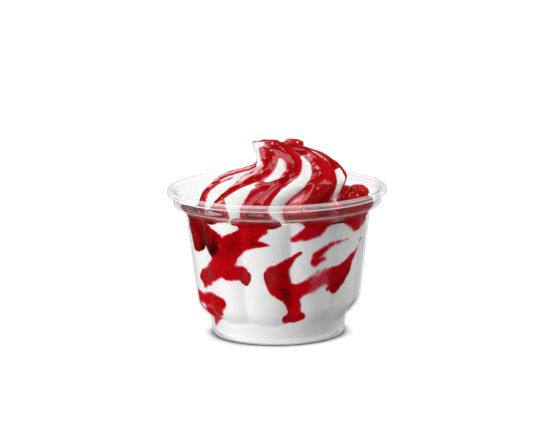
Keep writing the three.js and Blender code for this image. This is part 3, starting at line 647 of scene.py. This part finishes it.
# The thickness that the colour goes by: what lies over the ice cream, up to a limit that is higher
# in the pool and less on the mounds. Painted shade is added to it as extra thickness: more at the
# swirl's foot, and the darkest tone where the pool meets the wall under the band and lip.
most = mix(POOL_SIDE_FILM_AND_SHADE, SIDE_FILM, smoothstep(2.2, 3.8, level))
film_and_shade = np.minimum(most, np.maximum(film, outer[:, 2] - surface[:, 2]))
film_and_shade += POOL_FOOT_SHADE * smoothstep(3.4, 2.2, level) * smoothstep(0.3, 1.2, field)
film_and_shade = mix(film_and_shade, np.minimum(film_and_shade, MOUND_FILM), np.clip(mounds / 1.5, 0, 1))
shaded_at_wall = mix(film_and_shade, POOL_SIDE_FILM_AND_SHADE, (1 - inward) * smoothstep(0, 0.6, field))
film_and_shade = np.where(level < 1, shaded_at_wall, film_and_shade)
give_value(top_sauce, "film", film_and_shade)

# ------------------------------------------------------------------ sauce on the wall
# Sauce that ran down between the ice cream and the plastic and was pressed flat there. It is
# opaque where it is thick, and thins out to pink streaks.
SMEAR_RADIUS, SMEAR_BLEND, SMEAR_CELL, SMEAR_MARGIN = 37, 1.4, 0.45, 7
SMEAR_LOW, SMEAR_HIGH = 3.2, 57.0
SMEAR_EDGE_DEPTH, SMEAR_DEPTH, SMEAR_FILM = 0.4, 2.4, 1.9
SMEAR_STAND_OFF = 0.08       # how far its face lies outside the ice cream at the wall
SMEARS = {                   # strokes of angle, height, half width, share of full thickness
    "sauce_smear_left": [
        [(-70, 56, 4, 1), (-68, 50.5, 4.6, 1), (-65, 43.5, 4.2, 1.5), (-69, 40.6, 1.6, 1.3)],
        [(-57, 50, 5, 1), (-48, 43.6, 4.8, 1.5)],
        [(-50, 48.5, 4.4, 1), (-40, 47.5, 2.4, 1)],
        [(-22, 55.5, 3.4, 0.8), (-17, 55, 3.6, 0.8), (-8, 53, 1.4, 0.8)],
        [(-14, 53, 4.4, 0.8), (-20, 49.5, 4.4, 0.8), (-31, 45, 5.2, 0.8), (-40, 36, 5.2, 0.6),
         (-57, 29.5, 4.2, 0.5)],
        [(-20, 47.3, 3.0, 0.8), (-5.5, 46.2, 0.5, 1)],
        [(-36, 33, 3.8, 0.6), (-25, 32.6, 3.4, 0.6)],
        [(-60, 27, 3.0, 0.4), (-63, 24.2, 1.2, 0.4)],
    ],
    "sauce_smear_left_edge": [
        [(-84, 54.5, 3.4, 0.9), (-82, 48, 3.2, 0.8), (-79, 44.5, 1.4, 0.6)],
    ],
    "sauce_smear_foot_left": [
        [(-80, 19.4, 2.8, 0.35), (-62, 18.2, 3.0, 0.4), (-57, 18.4, 3.6, 0.6), (-44, 18.6, 3.2, 0.7)],
        [(-80, 17, 3.4, 0.35), (-72, 12.5, 2.4, 0.3)],
        [(-48, 15.8, 3.4, 0.6), (-62, 11.8, 3.6, 0.4), (-72, 7.6, 3.0, 0.25)],
    ],
    "sauce_smear_front": [
        [(-4, 34, 3.4, 0.5), (0, 28, 4.6, 0.7), (8, 24, 4.6, 0.8), (11, 18, 3.0, 0.8), (11, 14, 3.4, 0.8)],
        [(6.6, 12.4, 2.6, 0.8), (16, 13.6, 2.2, 0.8)],
        [(2, 35, 3.0, 0.7), (14.5, 42.4, 0.7, 0.7)],
        [(1.5, 34.5, 3.6, 0.7), (3.2, 29, 3.8, 0.7)],
        [(12, 25, 3.4, 0.5), (24, 28.2, 3.8, 0.24), (34, 30.8, 3.9, 0.24), (46, 30, 4.6, 0.6)],
        [(24, 30, 2.0, 0.15), (27, 33.4, 1.2, 0.12)],
        [(46, 30, 4.6, 0.8), (52, 33, 3.6, 0.8), (57, 37, 2.0, 0.4), (66, 40, 1.2, 0.25),
         (79, 43.5, 0.5, 0.2)],
        [(44, 27.6, 4.2, 0.8), (43, 23.6, 1.8, 0.8)],
        [(44, 26.6, 3.2, 0.8), (36, 24.8, 0.8, 0.6)],
    ],
    "sauce_smear_drop": [
        [(10, 48.4, 1.5, 0.5), (18, 50.4, 3.0, 0.5), (25, 53.0, 4.2, 0.5), (33, 56, 3.0, 0.6)],
    ],
    "sauce_smear_right": [
        [(50, 54.5, 2.6, 0.5), (60, 51.6, 3.2, 0.5), (76, 51.6, 3.2, 0.5)],
        [(58, 55.5, 2.6, 0.5), (84, 55.5, 2.6, 0.5)],
    ],
    "sauce_smear_small": [
        [(24.5, 38.2, 2.6, 0.4), (33, 38.9, 1.1, 0.25)],
        [(25.5, 40.8, 2.3, 0.45), (36, 44.4, 1.6, 0.35), (51, 45.9, 0.7, 0.25)],
    ],
    "sauce_smear_back_right": [
        [(112, 55.5, 3.6, 0.7), (112, 50, 3.2, 0.7), (118, 41, 4.2, 0.7), (130, 31, 4.6, 0.5),
         (133, 23, 2.6, 0.3)],
    ],
    "sauce_smear_back": [
        [(196, 55.5, 3.6, 0.7), (196, 50, 3.4, 0.7), (204, 42, 4.6, 0.8), (222, 36, 4.4, 0.5),
         (236, 39, 1.8, 0.2)],
        [(213, 38, 4.2, 0.8), (212, 28, 3.2, 0.6), (206, 21, 2.4, 0.4)],
    ],
}


def smear_field(strokes, angle, height):
    """A smear's strokes joined softly: above zero inside, with its share of full thickness."""
    x = np.radians(angle) * SMEAR_RADIUS
    field = np.full(angle.shape, -99.0)
    weight, total = np.zeros(angle.shape), np.zeros(angle.shape)
    for stroke in strokes:
        flat = [(math.radians(a) * SMEAR_RADIUS, z, wide, share) for a, z, wide, share in stroke]
        for start, end in zip(flat, flat[1:]):
            new = stroke_field(x, height, start[:3], end[:3])
            dx, dy = end[0] - start[0], end[1] - start[1]
            along = np.clip(((x - start[0]) * dx + (height - start[1]) * dy) / (dx * dx + dy * dy), 0, 1)
            pull = np.exp(np.clip(new, -6, 6) * 1.2)
            weight += pull
            total += pull * mix(start[3], end[3], along)
            field = soft_max(field, new, SMEAR_BLEND)
    return field, total / weight


pressed_sauce, _, _ = berry_sauce("pressed_berry_sauce", [
    (0.0, (0.80, 0.70, 0.70)), (0.07, (0.74, 0.34, 0.40)), (0.22, (0.64, 0.06, 0.11)),
    (0.55, (0.54, 0.0, 0.006)), (1.3, (0.42, 0.0, 0.002)), (2.2, (0.18, 0.0, 0.001)),
    (3.2, (0.05, 0.0, 0.0))], 0.4, 0.05, 1.2)

for name, strokes in SMEARS.items():
    flat = np.array([spot for stroke in strokes for spot in stroke])
    margin = SMEAR_MARGIN / (math.radians(1) * SMEAR_RADIUS)
    west, east = flat[:, 0].min() - margin, flat[:, 0].max() + margin
    low = max(SMEAR_LOW, flat[:, 1].min() - SMEAR_MARGIN)
    high = min(SMEAR_HIGH, flat[:, 1].max() + SMEAR_MARGIN)

    def smear_place(at):
        return mix(west, east, at[:, 0] + 0.5), mix(low, high, at[:, 1] + 0.5)

    def field_on_wall(at):
        angle, height = smear_place(at)
        spots = polar(angle, SMEAR_RADIUS, height)
        waver = 0.55 * field_noise(spots, 3.4, 11.0) + 0.3 * field_noise(spots, 1.2, 3.0)
        return smear_field(strokes, angle, height)[0] + waver

    bm = bmesh.new()
    across = round(math.radians(east - west) * SMEAR_RADIUS / SMEAR_CELL)
    up = round((high - low) / SMEAR_CELL)
    bmesh.ops.create_grid(bm, x_segments=across, y_segments=up, size=0.5)
    trim(bm, field_on_wall)
    give_thickness(bm, (0, 0, SKIN_OFFSET))
    at = corners(bm)
    inside = at[:, 2] > SKIN_OFFSET / 2
    angle, height = smear_place(at)
    field = np.maximum(0, field_on_wall(at))
    share = smear_field(strokes, angle, height)[1]
    depth = mix(SMEAR_EDGE_DEPTH, SMEAR_DEPTH, smoothstep(0, 4.5, field))
    radius = inner_radius(angle, height) + INTO_WALL + SMEAR_STAND_OFF
    place(bm, polar(angle, np.where(inside, radius - SMEAR_STAND_OFF - depth, radius), height))

    # Its thickness: clouded, thin at the edges below the pool, and brushed along a slant.
    cloud = field_noise(polar(angle, SMEAR_RADIUS, height), 6.0, 8.0)
    along = np.radians(angle) * SMEAR_RADIUS
    slant = np.stack([height * 0.82 - along * 0.57, (along * 0.82 + height * 0.57) / 7, along * 0], -1)
    brushed = field_noise(slant, 0.9, 6.0)
    thin_edge = mix(smoothstep(0, 1.0 + 1.6 * (1 - share), field), 1, smoothstep(52.6, 53.8, height))
    thickness = SMEAR_FILM * share * (1 + 0.45 * cloud) * thin_edge
    thickness *= 1 + 0.5 * brushed * (1.1 - share)
    smear = finished(bm, name.replace("sauce_", "pressed_"), pressed_sauce, "sauce",
                     *([name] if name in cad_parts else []))
    give_value(smear, "film", np.maximum(0, thickness))

# ------------------------------------------------------------------ fruit
# Pieces of soft dark berry from the sauce: clusters of small juicy drupelets. Four are pressed
# flat against the wall, one lies on the tail and one between the swirl and the rim.
PRESSED_FRUIT = {            # angle and height on the wall, half sizes, number of drupelets
    "fruit_wall_left": ((-64, 29), (4.0, 2.4, 4.9), 46),
    "fruit_wall_left_second": ((-53, 31.2), (4.8, 2.3, 4.2), 52),
    "fruit_wall_front_left": ((-22, 31.9), (4.2, 2.4, 4.8), 44),
    "fruit_wall_front": ((-5, 33), (3.6, 2.4, 6.6), 56),
}
LOOSE_FRUIT = {              # middle, half sizes, number of drupelets, turn
    "fruit_on_tail": ((6.9, 2.2, 82.7), (5.4, 2.8, 2.9), 30, 20),
    "fruit_by_wall": ((35.2, 6.5, 59.9), (6.0, 3.9, 4.4), 34, 35),
}
FRUIT_BODY, FRUIT_SINK, FRUIT_STAND_OFF = 0.88, 1.2, 0.14
GOLDEN_ANGLE = math.radians(137.508)


def fruit_material(name, roughness, specular, colours):
    """Flesh that is darker in the dips between its drupelets, a painted shade, and lighter on their tops,
    with a random mottle.
    """
    material, tree, shader = new_material(name)
    mottle = noise_texture(tree, object_position(tree), 420.0, 4.0)
    tone = arithmetic(tree, "MULTIPLY", stored_value(tree, "film"), mottle)
    colour = colour_ramp(tree, tone, list(zip((0.05, 0.6), colours)))
    fill(tree, shader, {"Base Color": colour, "Roughness": roughness, "Specular IOR Level": specular,
                        "Normal": bump(tree, mottle, 0.3, 0.0005)})
    return material


wet_fruit = fruit_material("wet_fruit", 0.08, 0.45, [(0.40, 0.0, 0.004), (0.80, 0.012, 0.012)])
pressed_fruit = fruit_material("pressed_fruit", 0.25, 0.3, [(0.32, 0.0, 0.006), (0.46, 0.01, 0.014)])


def berry_ball(count):
    """A ball, its points, and how far up on a drupelet each of them lies, from 0 to 1."""
    steps = np.arange(count) + 0.5
    lift = 1 - 2 * steps / count
    ring = np.sqrt(1 - lift * lift)
    seats = np.stack([ring * np.cos(steps * GOLDEN_ANGLE), ring * np.sin(steps * GOLDEN_ANGLE), lift], -1)
    bm = bmesh.new()
    bmesh.ops.create_icosphere(bm, subdivisions=5, radius=1)
    at = corners(bm)
    gap = np.sqrt(np.maximum(0, 2 - 2 * (at @ seats.T))).min(axis=1)
    spread = 2.0 / math.sqrt(count)
    return bm, at, np.sqrt(np.maximum(0, 1 - (gap / (spread * 1.12)) ** 2))


def turned(points, angle):
    return points @ np.array(Matrix.Rotation(math.radians(angle), 3, "Z").transposed())


def berry_piece(bm, name, points, dome, material):
    place(bm, points)
    piece = finished(bm, name.replace("fruit", "berry_piece"), material, "fruit",
                     *([name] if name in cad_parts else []))
    give_value(piece, "film", dome)


for name, ((angle, height), size, count) in PRESSED_FRUIT.items():
    bm, at, dome = berry_ball(count)
    swell = FRUIT_BODY + 0.05 * dome + 0.2 * field_noise(at, 0.8, len(name))
    middle = polar(angle, inner_radius(angle, np.array(height)) - FRUIT_SINK, height)
    points = turned(at * swell[:, None] * np.array(size), angle) + middle
    around = angle_of(points)
    most = inner_radius(around, points[:, 2]) + INTO_WALL + FRUIT_STAND_OFF
    points = polar(around, np.minimum(np.hypot(points[:, 0], points[:, 1]), most), points[:, 2])
    berry_piece(bm, name, points, dome, pressed_fruit)

for name, (middle, size, count, turn) in LOOSE_FRUIT.items():
    bm, at, dome = berry_ball(count)
    folds = np.abs(field_noise(at * np.array((1, 1, 2.2)), 0.55, len(name)))
    swell = FRUIT_BODY + 0.06 * dome + 0.12 * field_noise(at, 0.9, 3.0) + 0.16 * folds
    points = turned(at * swell[:, None] * np.array(size), turn) + np.array(middle)
    berry_piece(bm, name, points, dome, wet_fruit)

# ------------------------------------------------------------------ seeds
# Small hard seeds from the crushed fruit, sunk to half their thickness in the sauce.
SEED_COUNT, SEED_SIZE = 18, (0.5, 0.34, 0.22)    # half sizes
SEED_FILM, LOWEST_SEED, SEED_LIFT = 0.8, 57.6, 0.02

seed_shell, tree, shader = new_material("dark_seeds")
pits = noise_texture(tree, object_position(tree), 1800.0, 2.0)
brown = colour_ramp(tree, pits, [(0, (0.02, 0.002, 0.001)), (1, (0.12, 0.01, 0.006))])
fill(tree, shader, {"Base Color": brown, "Roughness": 0.25})

chance = np.random.default_rng(7)
bm = bmesh.new()
mesh = top_sauce.data
spots = np.array([v.co[:] for v in mesh.vertices]) / MM
facing = np.array([v.normal[:] for v in mesh.vertices])
choices = np.flatnonzero((film_and_shade > SEED_FILM) & ~under & (spots[:, 2] > LOWEST_SEED))
flat_seed = Matrix.Diagonal((*SEED_SIZE, 1))
for pick in chance.choice(choices, SEED_COUNT, replace=False):
    stand = Vector(facing[pick]).to_track_quat("Z", "Y").to_matrix().to_4x4()
    spin = Matrix.Rotation(chance.uniform(0, math.pi), 4, "Z")
    lift = Matrix.Translation(Vector(spots[pick]) + Vector(facing[pick]) * SEED_LIFT)
    bmesh.ops.create_icosphere(bm, subdivisions=2, radius=1, matrix=lift @ stand @ spin @ flat_seed)
finished(bm, "seeds", seed_shell, "fruit")

# ------------------------------------------------------------------ studio
# A plain white table under soft light: a low wide key at the left, a large one at the right,
# small ones overhead and behind, and four that only show as glints. The table throws light up,
# and a shadow is painted into its glow only where the cup stands.
TABLE_LIGHT, TABLE_GLOW, GLOSSY_TABLE = 0.5, 1.11, 0.03
SKY_GLOW, SKY_LIGHT, GLOSSY_SKY_LOSS = 1.04, 0.12, 1.01
TABLE_HALF = 6
table_top, tree, _ = new_material("pale_table")
mottle = noise_texture(tree, object_position(tree), 8.0, 3.0)
pale = colour_ramp(tree, mottle, [(0, (0.93, 0.93, 0.93)), (1, (0.95, 0.95, 0.95))])


def open_sky(distance, normal, black, white):
    """Grey from 0 to 1 by how much of the light from round a direction reaches the table."""
    sky = node(tree, "ShaderNodeAmbientOcclusion", {"Distance": distance, "Normal": normal}, samples=12)
    return map_range(tree, sky.outputs["AO"], 0.01, 1.0, black, white)


# Painted shadow: the table's glow is darkened where little open sky is round a point, thinly at the foot and
# more in front of it.
soft_shade = open_sky(0.004, (0, 0, 1), 0.3, 0.92)
contact_shade = open_sky(0.017, (0, 0.77, 0.64), 0.38, 0.5)
shade = arithmetic(tree, "MULTIPLY", soft_shade, contact_shade)
tint = node(tree, "ShaderNodeMixRGB", {"Fac": 1.0, "Color1": shade, "Color2": pale}, blend_type="MULTIPLY")
rays = node(tree, "ShaderNodeLightPath").outputs
seen = map_range(tree, rays["Is Glossy Ray"], TABLE_GLOW, GLOSSY_TABLE)
glow = node(tree, "ShaderNodeEmission", {"Color": tint.outputs["Color"], "Strength": seen})
thrown = node(tree, "ShaderNodeEmission", {"Color": pale, "Strength": TABLE_LIGHT})
lit = node(tree, "ShaderNodeMixShader",
           {0: rays["Is Diffuse Ray"], 1: glow.outputs[0], 2: thrown.outputs[0]})
tree.links.new(lit.outputs[0], tree.nodes["Material Output"].inputs["Surface"])
bm = bmesh.new()
bmesh.ops.create_grid(bm, x_segments=8, y_segments=8, size=TABLE_HALF)
table = mesh_object(bm, "table", table_top)

# The surroundings: white behind the object, weak as a light, and dark in what is glossy.
world = bpy.data.worlds.new("studio")
bpy.context.scene.world = world
world.use_nodes = True
tree = world.node_tree
rays = node(tree, "ShaderNodeLightPath").outputs
strength = arithmetic(tree, "SUBTRACT", map_range(tree, rays["Is Diffuse Ray"], SKY_GLOW, SKY_LIGHT),
                      arithmetic(tree, "MULTIPLY", rays["Is Glossy Ray"], GLOSSY_SKY_LOSS))
fill(tree, tree.nodes["Background"], {"Strength": strength, "Color": (1, 1, 1, 1)})

LIGHT_TARGET = Vector((0, 0, 0.05))
LIGHT_DISTANCE = 1.0
LIGHTS = {                   # azimuth, elevation, width, height, power, kind of ray it is hidden from
    "key": (-50, 4, 0.9, 0.25, 8.9, "glossy"),
    "right": (116, 42, 0.9, 0.9, 10.8, "glossy"),
    "overhead": (80, 68, 0.4, 0.4, 2.3, "glossy"),
    "behind": (-150, 35, 0.5, 0.5, 3.0, None),
    "glints": (-35, 66, 0.7, 0.8, 4.2, "diffuse"),
    "glints_right": (90, 38, 0.3, 0.9, 1.7, "diffuse"),
    "sparks_left": (-22, 48, 0.03, 0.03, 3.2, "diffuse"),
    "sparks_right": (62, 32, 0.03, 0.03, 2.8, "diffuse"),
}
for name, (azimuth, elevation, width, height, power, hidden_from) in LIGHTS.items():
    light = bpy.data.lights.new(name, "AREA")
    light.shape, light.size, light.size_y, light.energy = "RECTANGLE", width, height, power
    lamp = new_object(name, light)
    a, e = math.radians(azimuth), math.radians(elevation)
    way = Vector((math.sin(a) * math.cos(e), -math.cos(a) * math.cos(e), math.sin(e)))
    lamp.location = LIGHT_TARGET + way * LIGHT_DISTANCE
    lamp.rotation_mode = "QUATERNION"
    lamp.rotation_quaternion = (-way).to_track_quat("-Z", "Y")
    lamp.visible_glossy = hidden_from != "glossy"
    lamp.visible_diffuse = hidden_from != "diffuse"

# The camera of the photo: far away with a long lens, eleven degrees above the table.
ELEVATION, DISTANCE, ROLL = math.radians(10.963), 1.3, math.radians(-0.737)
TARGET = Vector((-0.001002, 0, 0.049793))
FOCAL_PIXELS, PHOTO_PIXELS, SENSOR = 2967.7, 550, 36
ahead = Vector((0, math.cos(ELEVATION), -math.sin(ELEVATION)))
right, up = Vector((1, 0, 0)), Vector((0, math.sin(ELEVATION), math.cos(ELEVATION)))
side = right * math.cos(ROLL) + up * math.sin(ROLL)
top = up * math.cos(ROLL) - right * math.sin(ROLL)
lens = bpy.data.cameras.new("camera")
lens.sensor_width, lens.lens = SENSOR, FOCAL_PIXELS / PHOTO_PIXELS * SENSOR
camera = new_object("camera", lens)
camera.matrix_world = Matrix.Translation(TARGET - ahead * DISTANCE) @ Matrix(
    (side, top, -ahead)).transposed().to_4x4()
bpy.context.scene.camera = camera
bpy.context.scene.view_settings.view_transform = "Standard"
